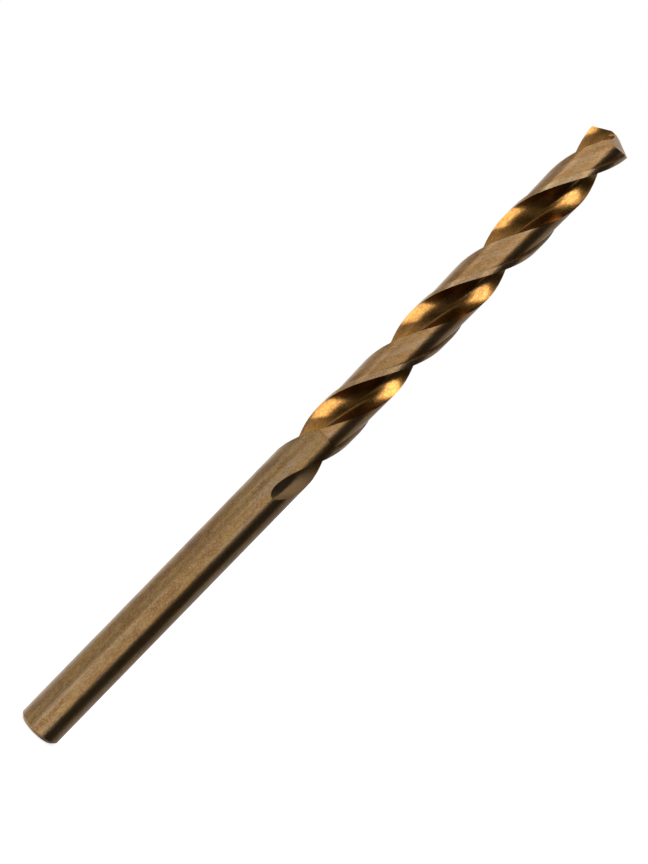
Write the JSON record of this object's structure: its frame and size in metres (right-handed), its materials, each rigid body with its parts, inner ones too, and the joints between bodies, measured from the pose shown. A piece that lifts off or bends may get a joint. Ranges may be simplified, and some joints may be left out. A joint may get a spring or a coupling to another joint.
{
  "type": "twist drill bit",
  "caption": "Two-flute right-hand twist drill for metal, 5 mm across, with a straight round shank and a split 130 degree point.",
  "frame": {"origin": "centre of the shank's flat end face", "axes": "+Z along the drill's axis, from the shank's end to the point; +X towards the outer corner of the first lip, which lies parallel to X"},
  "size_m": [0.005, 0.005, 0.0865],
  "materials": {
    "steel": "satin, straw-brown temper colour"
  },
  "bodies": {
    "root": {"drill_bit": "steel"}
  },
  "joints": []
}
